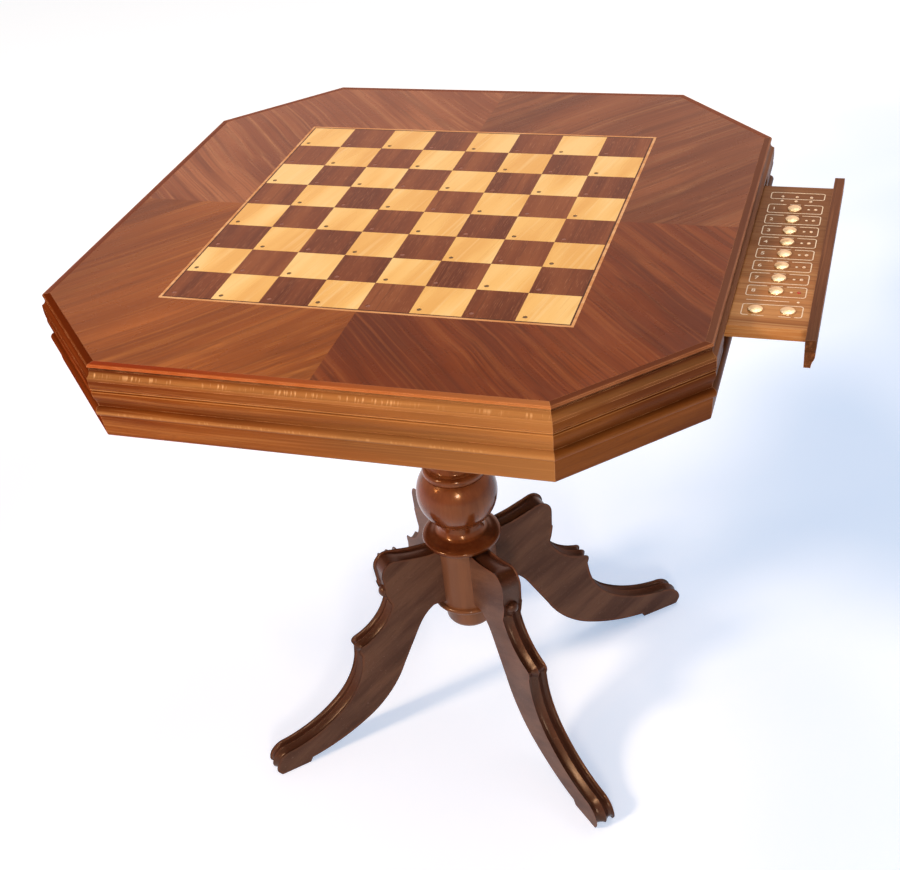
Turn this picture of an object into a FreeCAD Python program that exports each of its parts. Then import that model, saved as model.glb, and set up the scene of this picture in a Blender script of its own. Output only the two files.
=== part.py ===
import FreeCAD, Part
import math
import os

# Games table: an octagonal top with an inlaid chess board on a turned pedestal with four sawn legs,
# and a control drawer that slides out of the right-hand apron. Millimetres. The centre of the board
# on the playing surface is the origin, +Z is up, and the drawer opens towards +X.

# Round pieces are drawn with flat sides, and round stretches of an outline as chords that stay
# within chord_gap of the true round. Both keep the model light.
column_sides = 24
key_sides = 12
peg_sides = 8
lamp_sides = 6
chord_gap = 0.4

# playing board
square = 50.8
rows = 8
veneer = 0.8
dark_line_width = 1.5
light_line_width = 2.8
lamp_radius = 2.2
lamp_inset = 7.6

# octagonal top
half_width = 325.0
long_side = 428.0
core_depth = 14.7
pocket_depth = 3.0
pocket_margin = 4.0
sensor_board_thickness = 1.6
sensor_board_gap = 1.5
lipping_width = 8.0
lipping_round = 3.6
quirk_out = 6.7
quirk_depth = 5.6
bead_crest = 10.5

# apron, measured outwards from the veneer's edge and downwards from the top
apron_back = 10.0
apron_depth = 64.5
bead_out = 11.0
bead_depth = 10.5
notch_out = 7.0
frieze_depth = 29.0
torus_out = 12.0
torus_depth = 10.5
fascia_out = 8.6
fascia_taper = 1.6
foot_round = 3.5

# underframe
cleat_width = 15.0
cleat_depth = 16.0
bottom_panel_thickness = 5.0
bottom_panel_rebate = 0.5
bottom_panel_gap = 0.4
bearer_width = 40.0
bearer_depth = 30.0
bearer_clearance = 15.6
block_length = 180.0
block_depth = 26.0
block_screw_radius = 2.5
block_screw_length = 44.0
panel_screw_radius = 1.8
panel_screw_length = 14.0
screw_head_ratio = 1.9
socket_width = 14.0
socket_length = 16.0
socket_depth = 11.0
socket_bore = 3.2
socket_wall = 2.0
socket_inset = 90.0

# pedestal, heights above the floor
table_height = 688.0
shaft_radius = 40.0
shaft_bottom = 161.0
cap_radius = 30.5
cap_bottom = 116.0
cap_edge = 12.0
ring_radius = 44.0
ring_depth = 7.5
flange_radius = 47.5
flange_bottom = 250.0
flange_depth = 18.0
ball_radius = 49.5
ball_neck = 25.0
ball_top = 38.0
ball_steps = 7
neck_length = 5.0
collar_radius = 38.5
collar_depth = 7.0
collar_step = 4.5
waist_radius = 24.0
waist_height = 400.0
vase_radius = 38.0
vase_height = 470.0
throat_radius = 27.0
throat_height = 560.0
crown_radius = 60.0
crown_depth = 18.0
crown_gap = 1.0
tenon_radius = 18.0
tenon_length = 24.0

# legs, each a board on edge: reach from the axis, height above the floor. The two right-hand legs stand
# a little nearer the drawer than true corners would.
leg_angles = (42.5, 135.0, 225.0, 316.6)
leg_thickness = 25.0
leg_shoulder = 249.5
leg_root = 171.0
root_reach = 55.0
crest_reach = 96.0
crest_height = 260.0
hump_reach = 109.0
hump_height = 263.6
knee_reach = 122.0
knee_height = 247.0
boss_reach = 119.0
boss_height = 215.0
boss_radius = 6.0
boss_rise = 5.0
hollow_reach = 116.0
hollow_height = 196.0
lip_reach = 161.0
lip_height = 148.0
cusp_reach = 171.0
cusp_height = 140.0
ankle_reach = 167.0
ankle_height = 121.0
shin_reach = 204.0
shin_height = 58.0
instep_reach = 281.0
instep_height = 29.0
toe_reach = 303.0
toe_height = 10.0
sole_reach = 296.0
sole_length = 38.0
arch_reach = 161.0
arch_height = 39.0
thigh_reach = 109.0
thigh_height = 98.0
haunch_reach = 83.0
haunch_height = 146.0
groove_margin = 14.0
groove_width = 8.0
groove_depth = 3.5
dowel_radius = 5.0
dowel_length = 40.0
dowel_spacing = 36.0

# control drawer
drawer_travel = 80.0
drawer_offset = -10.0
front_length = 329.0
front_thickness = 10.0
front_gap = 0.5
slab_width = 288.0
slab_length = 200.0
slab_drop = 3.0
panel_thickness = 3.0
frame_depth = 7.0
frame_width = 11.0
drawer_bottom_thickness = 2.0
control_board_thickness = 1.6
control_board_gap = 0.5
slide_gap = 0.4
runner_wall = 14.0
runner_lip = 8.0
runner_lip_depth = 7.5
peg_radius = 3.0
peg_length = 6.0
stop_rail_width = 15.0
stop_rail_depth = 14.0
front_screw_length = 18.0

# keys and lamps of the drawer
key_count = 8
key_pitch = 24.4
key_radius = 7.0
key_travel = 1.0
key_rise = 2.2
key_bevel = 1.0
key_gap = 0.2
key_collar = 1.2
key_collar_depth = 0.8
key_clearance = 0.3
key_column = 34.5
key_column_pitch = 14.5
first_key_from_edge = 51.7
lamp_from_key = 21.0
small_lamp_radius = 1.5
small_lamp_rise = 0.8
lamp_rows_from_edge = (24.2, 34.0)
round_keys_from_edge = 30.0
switch_size = 6.0

# worked out
board_half = square * rows / 2
line_outer = board_half + dark_line_width + light_line_width
top_depth = veneer + core_depth
short_apothem = (half_width + long_side / 2) / math.sqrt(2)
apron_top = -top_depth
apron_foot = apron_top - apron_depth
frieze_foot = apron_top - frieze_depth
panel_bottom = apron_foot + bottom_panel_rebate
panel_top = panel_bottom + bottom_panel_thickness
block_top = apron_top - bearer_depth
block_foot = block_top - block_depth
slab_top = apron_top - slab_drop
frame_top = slab_top - panel_thickness
frame_foot = frame_top - frame_depth
slab_foot = frame_foot - drawer_bottom_thickness
board_top = frame_foot + control_board_thickness
shoulder = half_width + bead_out - front_thickness
slab_front = shoulder + drawer_travel
slab_back = slab_front - slab_length
runner_back = slab_back - drawer_travel - slide_gap
bearer_place = runner_back - bearer_clearance - bearer_width / 2
socket_place = half_width - socket_inset
slab_left = drawer_offset - slab_width / 2
slab_right = drawer_offset + slab_width / 2
side_names = ("right", "back_right", "back", "back_left", "left", "front_left", "front", "front_right")
leg_names = ("back_right", "back_left", "front_left", "front_right")
origin = FreeCAD.Vector(0, 0, 0)
up = FreeCAD.Vector(0, 0, 1)


def vec(x, y, z=0.0):
    return FreeCAD.Vector(x, y, z)


def box(x0, x1, y0, y1, z0, z1):
    return Part.makeBox(x1 - x0, y1 - y0, z1 - z0, vec(x0, y0, z0))


def face_of(corners):
    return Part.Face(Part.makePolygon(corners + corners[:1]))


def prism(points, z0, z1):
    return face_of([vec(x, y, z0) for x, y in points]).extrude(vec(0, 0, z1 - z0))


# A turned solid about the Z axis through (radius, height) points, bottom first, with flat sides.
def turned(profile, sides):
    angles = [2 * math.pi * (i + 0.5) / sides for i in range(sides)]
    rings = [[vec(r * math.cos(a), r * math.sin(a), z) for a in angles] for r, z in profile]
    faces = [face_of(rings[0]), face_of(rings[-1])]
    for low, high in zip(rings, rings[1:]):
        faces += [face_of([low[i - 1], low[i], high[i], high[i - 1]]) for i in range(sides)]
    return Part.Solid(Part.Shell(faces))


def peg(x, y, z0, z1, radius, sides):
    return turned([(radius, z0), (radius, z1)], sides).translated(vec(x, y))


def lying_peg(x, y, z, length, radius):
    upright = peg(0, 0, 0, length, radius, peg_sides)
    upright.rotate(origin, vec(0, 1, 0), 90)
    return upright.translated(vec(x, y, z))


def turn(shape, angle):
    copy = shape.copy()
    copy.rotate(origin, up, angle)
    return copy


# Chords of the arc from a to b whose middle stands bow to the left of the straight line.
def arc_points(a, b, bow):
    run = math.hypot(b[0] - a[0], b[1] - a[1])
    count = math.ceil(math.sqrt(abs(bow) / chord_gap))
    half = 2 * math.atan(2 * bow / run)
    radius = run / (2 * math.sin(half))
    points = []
    for i in range(1, count + 1):
        angle = half - 2 * half * i / count
        along = 0.5 - math.sin(angle) * radius / run
        left = (math.cos(angle) - math.cos(half)) * radius / run
        x = a[0] + along * (b[0] - a[0]) - left * (b[1] - a[1])
        y = a[1] + along * (b[1] - a[1]) + left * (b[0] - a[0])
        points.append((x, y))
    return points


# An outline from steps (a, b) for a straight edge or (a, b, bow) for a round one.
def outline(start, steps):
    points = [start]
    for step in steps:
        if len(step) == 3:
            points += arc_points(points[-1], step[:2], step[2])
        else:
            points.append(step)
    return points


def save(name, *solids):
    shape = solids[0] if len(solids) == 1 else Part.makeCompound(solids)
    shape.exportStep("parts/" + name + ".step")


# ---- octagon: side 0 faces +X and the sides go round anticlockwise, long and short in turn

def apothem(side):
    return half_width if side % 2 == 0 else short_apothem


def corner(side, offset):
    near = apothem(side) + offset
    far = apothem(side + 1) + offset
    angle = math.radians(45 * side)
    along = (far - near * math.cos(math.pi / 4)) / math.sin(math.pi / 4)
    x = near * math.cos(angle) - along * math.sin(angle)
    y = near * math.sin(angle) + along * math.cos(angle)
    return x, y


def octagon(offset, z0, z1):
    return prism([corner(side, offset) for side in range(8)], z0, z1)


def sector(side):
    inner = -4 * apron_back
    outer = 4 * apron_back
    points = [corner(side - 1, inner), corner(side - 1, outer), corner(side, outer), corner(side, inner)]
    return prism(points, apron_foot - 1, 1)


# A strip along one side of the octagon with mitred ends. Its section is given outwards and upwards.
def strip(side, start, steps):
    reach = apothem(side)
    half = long_side / 2 + 4 * apron_back
    face = face_of([vec(reach + out, -half, z) for out, z in outline(start, steps)])
    blank = face.extrude(vec(0, 2 * half, 0))
    return turn(blank, 45 * side).common(sector(side))


# ---- playing surface and core

def square_at(column, row):
    x = column * square - board_half
    y = row * square - board_half
    tile = box(x, x + square, y, y + square, -veneer, 0)
    return tile.cut(square_lamp(x + lamp_inset, y + lamp_inset))


def square_lamp(x, y):
    return peg(x, y, -veneer, 0, lamp_radius, lamp_sides)


def squares(shade):
    return [square_at(i, j) for i in range(rows) for j in range(rows) if (i + j) % 2 == shade]


def square_lamps():
    places = [i * square - board_half + lamp_inset for i in range(rows)]
    return [square_lamp(x, y) for x in places for y in places]


def line_strips(inner, width):
    outer = inner + width
    strip_points = [(-inner, -inner), (-outer, -outer), (outer, -outer), (inner, -inner)]
    first = prism(strip_points, -veneer, 0)
    return [turn(first, 90 * i) for i in range(4)]


def veneer_leaf(quarter):
    ring = octagon(0, -veneer, 0).cut(box(-line_outer, line_outer, -line_outer, line_outer, -veneer, 0))
    leaf = ring.common(box(0, 2 * half_width, 0, 2 * half_width, -veneer, 0))
    return turn(leaf, 90 * quarter)


def top_core():
    pocket = board_half + pocket_margin
    routed = box(-pocket, pocket, -pocket, pocket, apron_top, apron_top + pocket_depth)
    return octagon(0, apron_top, -veneer).cut(routed)


def sensor_board():
    half = board_half + pocket_margin - sensor_board_gap
    top = apron_top + pocket_depth
    return box(-half, half, -half, half, top - sensor_board_thickness, top)


# ---- mouldings

# The lipping carries a thin rounded edge and, below a quirk, the upper half of the bead.
def lipping(side):
    flat = lipping_width - lipping_round
    steps = [
        (0, apron_top),
        (bead_out, apron_top),
        (bead_out, -bead_crest),
        (quirk_out, -quirk_depth, -0.7),
        (lipping_width, -lipping_round),
        (flat, 0, -lipping_round * 0.29),
    ]
    return strip(side, (0, 0), steps)


def apron_steps():
    bead_foot = apron_top - bead_depth
    torus_foot = frieze_foot - torus_depth
    return [
        (bead_out, apron_top),
        (bead_out, bead_foot + 2.5),
        (notch_out + 1.5, bead_foot, 0.4),
        (bead_out - 0.8, bead_foot - 1.8),
        (notch_out + 2.0, frieze_foot + 3.0),
        (notch_out, frieze_foot, 0.8),
        (fascia_out + 1.0, torus_foot + 0.5, torus_out - notch_out - 1.3),
        (fascia_out, torus_foot),
        (fascia_out - fascia_taper, apron_foot + foot_round),
        (fascia_out - fascia_taper - foot_round, apron_foot, 1.0),
        (-apron_back, apron_foot),
    ]


def apron(side):
    return strip(side, (-apron_back, apron_top), apron_steps())


def front_room(gap):
    near = drawer_offset - front_length / 2 - gap
    far = drawer_offset + front_length / 2 + gap
    return box(shoulder - gap, half_width + 4 * bead_out, near, far, frieze_foot - gap, apron_top)


def drawer_apron():
    inside = half_width - apron_back
    near = slab_left - slide_gap
    far = slab_right + slide_gap
    slot = box(inside, shoulder, near, far, slab_foot - slide_gap, apron_top)
    return apron(0).cut(front_room(front_gap)).cut(slot)


# ---- underframe

def cleat(side):
    back = -apron_back - cleat_width
    steps = [(-apron_back, panel_top), (-apron_back, panel_top + cleat_depth), (back, panel_top + cleat_depth)]
    return strip(side, (back, panel_top), steps)


def screw(x, y, head_z, radius, length):
    profile = [(screw_head_ratio * radius, 0), (radius, radius), (radius, length)]
    return turned(profile, lamp_sides).translated(vec(x, y, head_z))


def panel_screw_places():
    places = []
    for side in range(8):
        angle = math.radians(45 * side)
        reach = apothem(side) - apron_back - cleat_width / 2
        places.append((reach * math.cos(angle), reach * math.sin(angle)))
    return places


def panel_screws():
    return [screw(x, y, panel_bottom, panel_screw_radius, panel_screw_length) for x, y in panel_screw_places()]


def socket_room(gap):
    x = socket_place
    half = socket_length / 2 + gap
    return box(x - socket_width / 2 - gap, x + socket_width / 2 + gap, -half, half, panel_bottom, panel_top)


def power_socket():
    x = socket_place
    half = socket_length / 2
    body = box(x - socket_width / 2, x + socket_width / 2, -half, half, panel_bottom, panel_bottom + socket_depth)
    return body.cut(peg(x, 0, panel_bottom, panel_bottom + socket_depth - socket_wall, socket_bore, peg_sides))


def bottom_panel():
    panel = octagon(-apron_back - bottom_panel_gap, panel_bottom, panel_top)
    panel = panel.cut(peg(0, 0, panel_bottom, panel_top, crown_radius + crown_gap, column_sides))
    panel = panel.cut(socket_room(0))
    for one in panel_screws():
        panel = panel.cut(one)
    return panel


def cleats():
    solids = [cleat(side) for side in range(8)]
    return [solid.cut(one) for solid, one in zip(solids, panel_screws())]


def block_screw_places():
    along = block_length / 2 - 6 * block_screw_radius
    return [(i * bearer_place, j * along) for i in (-1, 1) for j in (-1, 1)]


def block_screws():
    return [screw(x, y, block_foot, block_screw_radius, block_screw_length) for x, y in block_screw_places()]


def bearers():
    end = half_width - apron_back
    solids = []
    for side in (-1, 1):
        x = side * bearer_place
        bearer = box(x - bearer_width / 2, x + bearer_width / 2, -end, end, block_top, apron_top)
        for one in block_screws():
            bearer = bearer.cut(one)
        solids.append(bearer)
    return solids


def column_block():
    half = bearer_place + bearer_width / 2
    block = box(-half, half, -block_length / 2, block_length / 2, block_foot, block_top)
    block = block.cut(peg(0, 0, block_foot, block_top, tenon_radius, column_sides))
    for one in block_screws():
        block = block.cut(one)
    return block


# ---- pedestal

# Points on the ball's meridian from its neck up to the ring on top, as (radius, height).
def ball_points(centre):
    low = -math.acos(ball_neck / ball_radius)
    high = math.acos(ball_top / ball_radius)
    angles = [low + (high - low) * i / ball_steps for i in range(ball_steps + 1)]
    return [(ball_radius * math.cos(a), centre + ball_radius * math.sin(a)) for a in angles]


def column_profile():
    top = block_foot + table_height
    ring_foot = shaft_bottom - ring_depth
    flange_top = flange_bottom + flange_depth
    ball_foot = flange_top + neck_length
    centre = ball_foot + math.sqrt(ball_radius ** 2 - ball_neck ** 2)
    collar_foot = centre + math.sqrt(ball_radius ** 2 - ball_top ** 2)
    foot = [
        (cap_radius * 0.6, cap_bottom),
        (cap_radius * 0.88, cap_bottom + cap_edge * 0.35),
        (cap_radius, cap_bottom + cap_edge),
        (cap_radius, ring_foot),
        (ring_radius, ring_foot + ring_depth * 0.3),
        (ring_radius, ring_foot + ring_depth * 0.7),
        (shaft_radius, shaft_bottom),
        (shaft_radius, flange_bottom),
    ]
    flange = [
        (flange_radius * 0.93, flange_bottom + flange_depth * 0.05),
        (flange_radius, flange_bottom + flange_depth * 0.28),
        (flange_radius * 0.93, flange_bottom + flange_depth * 0.6),
        (ball_neck, flange_top),
    ]
    collar = [
        (collar_radius, collar_foot),
        (collar_radius, collar_foot + collar_depth),
        (collar_radius - collar_step, collar_foot + collar_depth + collar_step / 2),
    ]
    vase = [
        (waist_radius, waist_height),
        (vase_radius * 0.93, (waist_height + vase_height) / 2),
        (vase_radius, vase_height),
        (vase_radius * 0.93, (vase_height + throat_height) / 2),
        (throat_radius, throat_height),
    ]
    crown = [
        (throat_radius, top - crown_depth * 2),
        (crown_radius * 0.6, top - crown_depth * 1.3),
        (crown_radius, top - crown_depth),
        (crown_radius, top),
        (tenon_radius, top),
        (tenon_radius, top + tenon_length),
    ]
    return foot + flange + ball_points(centre) + collar + vase + crown


def column():
    shape = turned(column_profile(), column_sides).translated(vec(0, 0, -table_height))
    for one in leg_dowels():
        shape = shape.cut(one)
    return shape


# The leg stands on edge in the plane of the pedestal's axis. Its outer edge clears the flange, rises to
# a round hump, drops over the knee, hollows out to a cusp and sweeps down to the toe.
def leg_face():
    heel = sole_reach - sole_length
    steps = [
        (flange_radius + 1.0, leg_shoulder),
        (crest_reach, crest_height, -1.5),
        (hump_reach, hump_height, 0.8),
        (knee_reach, knee_height, 3.4),
        (knee_reach - 1.0, boss_height + boss_radius),
        (hollow_reach, hollow_height),
        (lip_reach, lip_height, -9.5),
        (lip_reach + 1.0, lip_height - 4.0),
        (cusp_reach - 1.5, cusp_height + 2.5),
        (cusp_reach, cusp_height - 2.0, 0.3),
        (ankle_reach, ankle_height),
        (shin_reach, shin_height, -7.5),
        (instep_reach, instep_height, -5.2),
        (toe_reach, toe_height, 5.8),
        (sole_reach, 0),
        (heel, 0),
        (heel - 6.0, toe_height),
        (arch_reach, arch_height, 4.8),
        (thigh_reach, thigh_height, 6.0),
        (haunch_reach, haunch_height),
        (root_reach, leg_root + 2.0, -3.2),
        (shaft_radius / 2, leg_root),
    ]
    points = outline((shaft_radius / 2, leg_shoulder), steps)
    return face_of([vec(r, 0, h - table_height) for r, h in points])


# The groove follows the outer edge: along the shoulder up to the hump, round the hollow below the
# boss, and from the ankle down over the shin and the toe. Knee and cusp stay plain.
def groove_zones():
    shoulder_zone = [
        (flange_radius, leg_shoulder - groove_depth * 2),
        (crest_reach, crest_height - groove_depth * 2),
        (crest_reach, crest_height + groove_depth),
        (flange_radius, crest_height + groove_depth),
    ]
    hollow_zone = [
        (hollow_reach - groove_margin, hollow_height),
        (lip_reach, hollow_height),
        (lip_reach, lip_height),
        (lip_reach - groove_margin, lip_height - groove_margin),
    ]
    shin_zone = [
        (ankle_reach - groove_margin, ankle_height),
        (shin_reach - groove_margin, shin_height - groove_margin),
        (instep_reach - groove_margin, instep_height - groove_margin),
        (sole_reach - groove_depth, 0),
        (toe_reach + groove_depth, 0),
        (toe_reach + groove_depth, ankle_height),
    ]
    zones = (shoulder_zone, hollow_zone, shin_zone)
    return [face_of([vec(r, 0, h - table_height) for r, h in zone]) for zone in zones]


def groove(face):
    band = face.cut(face.makeOffset2D(-groove_depth))
    lines = [band.common(zone).extrude(vec(0, groove_width, 0)) for zone in groove_zones()]
    return Part.makeCompound(lines).translated(vec(0, -groove_width / 2, 0))


# The low round button on the edge under the knee, set a little way into it.
def boss():
    root = boss_radius
    profile = [(boss_radius, 0), (boss_radius, root + boss_rise * 0.4), (boss_radius * 0.55, root + boss_rise)]
    button = turned(profile, peg_sides)
    button.rotate(origin, vec(0, 1, 0), 90)
    return button.translated(vec(boss_reach - root, 0, boss_height - table_height))


def leg(angle):
    face = leg_face()
    board = face.extrude(vec(0, leg_thickness, 0))
    board.translate(vec(0, -leg_thickness / 2, 0))
    board = board.cut(groove(face)).fuse(boss())
    for one in dowels_on_x():
        board = board.cut(one)
    return turn(board, angle).cut(peg(0, 0, -table_height, -top_depth, shaft_radius, column_sides))


def dowels_on_x():
    middle = (leg_shoulder + leg_root) / 2 - table_height
    start = shaft_radius - dowel_length / 2
    heights = (middle - dowel_spacing / 2, middle + dowel_spacing / 2)
    return [lying_peg(start, 0, z, dowel_length, dowel_radius) for z in heights]


def leg_dowels():
    return [turn(one, angle) for angle in leg_angles for one in dowels_on_x()]


# ---- control drawer, drawn pulled out

def drawer_runner(side):
    edge = drawer_offset + side * (slab_width / 2 + slide_gap)
    inner = edge - side * runner_lip
    outer = edge + side * runner_wall
    ceiling = slab_top + slide_gap
    floor = slab_foot - slide_gap
    foot = floor - runner_lip_depth
    points = [(inner, foot), (outer, foot), (outer, apron_top), (inner, apron_top), (inner, ceiling), (edge, ceiling),
              (edge, floor), (inner, floor)]
    run = half_width - apron_back - runner_back
    return face_of([vec(runner_back, y, z) for y, z in points]).extrude(vec(run, 0, 0))


def stop_rail():
    front = half_width - apron_back
    top = slab_foot - slide_gap
    near = slab_left - slide_gap + runner_lip
    far = slab_right + slide_gap - runner_lip
    return box(front - stop_rail_width, front, near, far, top - stop_rail_depth, top)


def stop_pegs():
    x = half_width - apron_back - stop_rail_width - peg_radius - slide_gap
    inset = runner_lip + 4 * peg_radius
    places = (slab_left + inset, slab_right - inset)
    top = slab_foot + drawer_bottom_thickness
    return [peg(x, y, slab_foot - peg_length, top, peg_radius, peg_sides) for y in places]


def drawer_front():
    near = drawer_offset - front_length / 2
    points = outline((-apron_back, apron_top), apron_steps())
    blank = face_of([vec(half_width + out, near, z) for out, z in points]).extrude(vec(0, front_length, 0))
    room = box(shoulder, half_width + 4 * bead_out, near, near + front_length, frieze_foot, apron_top - front_gap)
    front = blank.common(room)
    front.translate(vec(drawer_travel, 0, 0))
    for one in front_screws():
        front = front.cut(one)
    return front


def front_screws():
    z = (frame_top + frame_foot) / 2
    start = slab_front - frame_width
    places = [drawer_offset + i * slab_width / 3 for i in (-1, 0, 1)]
    return [lying_peg(start, y, z, front_screw_length, panel_screw_radius) for y in places]


def key_places():
    column_x = slab_front - key_column
    first = slab_right - first_key_from_edge
    last = slab_left + round_keys_from_edge
    places = [(column_x, first - i * key_pitch) for i in range(key_count)]
    return places + [(column_x - key_column_pitch, last), (column_x + key_column_pitch, last)]


def lamp_places():
    column_x = slab_front - key_column
    beside = [(column_x + lamp_from_key, y) for _, y in key_places()[:key_count]]
    above = [(column_x + i * key_column_pitch, slab_right - drop) for drop in lamp_rows_from_edge for i in (-1, 0, 1)]
    return beside + above


def drawer_panel():
    panel = box(slab_back, slab_front, slab_left, slab_right, frame_top, slab_top)
    for x, y in key_places():
        panel = panel.cut(peg(x, y, frame_top, slab_top, key_radius + key_gap, key_sides))
    for x, y in lamp_places():
        panel = panel.cut(drawer_lamp(x, y, slab_top))
    return panel


def drawer_frame():
    inner = (slab_back + frame_width, slab_front - frame_width, slab_left + frame_width, slab_right - frame_width)
    frame = box(slab_back, slab_front, slab_left, slab_right, frame_foot, frame_top)
    frame = frame.cut(box(*inner, frame_foot, frame_top))
    for one in front_screws():
        frame = frame.cut(one)
    return frame


def drawer_bottom():
    bottom = box(slab_back, slab_front, slab_left, slab_right, slab_foot, frame_foot)
    for one in stop_pegs():
        bottom = bottom.cut(one)
    return bottom


def control_board():
    reach = frame_width + control_board_gap
    return box(slab_back + reach + 2 * peg_radius + key_column, slab_front - reach, slab_left + reach, slab_right - reach,
               frame_foot, board_top)


def key_foot():
    return frame_top - key_gap - key_collar_depth


def key_switches():
    half = switch_size / 2
    top = key_foot() - key_travel - key_clearance
    return [box(x - half, x + half, y - half, y + half, board_top, top) for x, y in key_places()]


def drawer_lamp(x, y, top):
    return peg(x, y, board_top, top, small_lamp_radius, lamp_sides)


def drawer_lamps():
    return [drawer_lamp(x, y, slab_top + small_lamp_rise) for x, y in lamp_places()]


def key(x, y):
    foot = key_foot()
    crest = slab_top + key_rise
    collar = key_radius + key_collar
    profile = [
        (collar, foot),
        (collar, foot + key_collar_depth),
        (key_radius, foot + key_collar_depth),
        (key_radius, crest - key_bevel),
        (key_radius - key_bevel, crest),
    ]
    return turned(profile, key_sides).translated(vec(x, y))


def build():
    os.makedirs("parts", exist_ok=True)
    save("top_core", top_core())
    for quarter, name in enumerate(leg_names):
        save("veneer_" + name, veneer_leaf(quarter))
    save("dark_line", *line_strips(board_half, dark_line_width))
    save("light_line", *line_strips(board_half + dark_line_width, light_line_width))
    save("dark_squares", *squares(0))
    save("light_squares", *squares(1))
    save("square_lamps", *square_lamps())
    save("sensor_board", sensor_board())
    for side, name in enumerate(side_names):
        save("lipping_" + name, lipping(side))
        save("apron_" + name, drawer_apron() if side == 0 else apron(side))
    save("panel_cleats", *cleats())
    save("bottom_panel", bottom_panel())
    save("frame_screws", *panel_screws(), *block_screws())
    save("power_socket", power_socket())
    save("bearers", *bearers())
    save("column_block", column_block())
    save("column", column())
    for angle, name in zip(leg_angles, leg_names):
        save("leg_" + name, leg(angle))
    save("leg_dowels", *leg_dowels())
    save("drawer_runners", drawer_runner(-1), drawer_runner(1))
    save("stop_rail", stop_rail())
    save("drawer_front", drawer_front())
    save("front_screws", *front_screws())
    save("drawer_panel", drawer_panel())
    save("drawer_frame", drawer_frame())
    save("drawer_bottom", drawer_bottom())
    save("stop_pegs", *stop_pegs())
    save("control_board", control_board())
    save("key_switches", *key_switches())
    save("drawer_lamps", *drawer_lamps())
    for number, (x, y) in enumerate(key_places(), 1):
        save("key_" + str(number), key(x, y))


build()
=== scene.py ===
from math import atan, ceil, cos, dist, hypot, pi, radians, sin, sqrt

import bpy
from mathutils import Matrix, Vector


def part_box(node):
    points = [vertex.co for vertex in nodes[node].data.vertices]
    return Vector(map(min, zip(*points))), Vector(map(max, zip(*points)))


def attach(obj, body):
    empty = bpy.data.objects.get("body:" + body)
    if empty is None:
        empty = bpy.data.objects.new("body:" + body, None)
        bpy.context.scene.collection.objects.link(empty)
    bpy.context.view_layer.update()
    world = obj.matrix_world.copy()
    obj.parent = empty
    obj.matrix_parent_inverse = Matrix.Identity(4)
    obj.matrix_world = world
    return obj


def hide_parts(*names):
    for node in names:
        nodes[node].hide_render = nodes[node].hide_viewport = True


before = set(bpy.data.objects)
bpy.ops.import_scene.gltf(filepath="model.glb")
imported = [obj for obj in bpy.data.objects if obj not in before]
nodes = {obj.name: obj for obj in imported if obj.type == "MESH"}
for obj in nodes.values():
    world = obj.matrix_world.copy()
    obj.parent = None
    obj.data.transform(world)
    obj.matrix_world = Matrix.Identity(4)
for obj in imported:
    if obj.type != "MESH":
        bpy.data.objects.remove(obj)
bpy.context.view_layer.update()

mm = 0.001
# points nearer to each other than this are one
sameSpot = 0.002 * mm
print("frame loaded:", len(nodes), "nodes")


# small tools


def deselectAll():
    if bpy.context.mode != "OBJECT":
        bpy.ops.object.mode_set(mode="OBJECT")
    bpy.ops.object.select_all(action="DESELECT")


def pick(piece):
    deselectAll()
    piece.select_set(True)
    bpy.context.view_layer.objects.active = piece


def rename(piece, name):
    piece.name = name
    piece.data.name = name


def selectMesh():
    bpy.ops.mesh.select_all(action="SELECT")


def editAll(piece):
    pick(piece)
    bpy.ops.object.mode_set(mode="EDIT")
    selectMesh()


def leaveEdit():
    bpy.ops.object.mode_set(mode="OBJECT")


def settle():
    # the place, turn and size of the piece go into its mesh
    bpy.ops.object.transform_apply(location=True, rotation=True, scale=True)


def fresh(name, kind, **settings):
    deselectAll()
    getattr(bpy.ops.mesh, "primitive_" + kind + "_add")(**settings)
    piece = bpy.context.active_object
    rename(piece, name)
    return piece


def joinTo(main, others):
    pick(main)
    for other in others:
        other.select_set(True)
    bpy.ops.object.join()


def smoothBy(angle):
    bpy.ops.object.shade_smooth_by_angle(angle=radians(angle))


def waysAt(angle):
    # the way out from the middle, and the way square to it
    return Vector((cos(angle), sin(angle), 0)), Vector((-sin(angle), cos(angle), 0))


def spotAt(x, y, z):
    return x * mm, y * mm, z * mm


def pushOut(*way):
    bpy.ops.mesh.extrude_region_move(TRANSFORM_OT_translate={"value": way})


def applyModifiers(piece):
    pick(piece)
    for modifier in list(piece.modifiers):
        bpy.ops.object.modifier_apply(modifier=modifier.name)


def tidyMesh(piece, angle=35):
    # doubles go first, then the faces are turned outwards
    editAll(piece)
    bpy.ops.mesh.remove_doubles(threshold=sameSpot)
    bpy.ops.mesh.normals_make_consistent(inside=False)
    leaveEdit()
    smoothBy(angle)


def cut(piece, tool):
    modifier = piece.modifiers.new("cut", "BOOLEAN")
    modifier.operation = "DIFFERENCE"
    modifier.solver = "EXACT"
    modifier.object = tool
    applyModifiers(piece)
    bpy.data.objects.remove(tool)


def block(x0, x1, y0, y1, z0, z1):
    piece = fresh("block", "cube", size=1, location=spotAt((x0 + x1) / 2, (y0 + y1) / 2, (z0 + z1) / 2))
    piece.scale = spotAt(x1 - x0, y1 - y0, z1 - z0)
    settle()
    return piece


def dressNodes(material, *names):
    for node in (nodes[name] for name in names):
        if not node.material_slots:
            node.data.materials.append(material)
        for slot in node.material_slots:
            slot.material = material


def place(piece, material, body, slot, *replaced):
    piece.data.materials.clear()
    piece.data.materials.append(material)
    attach(piece, body)
    if replaced:
        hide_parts(*replaced)


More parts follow.
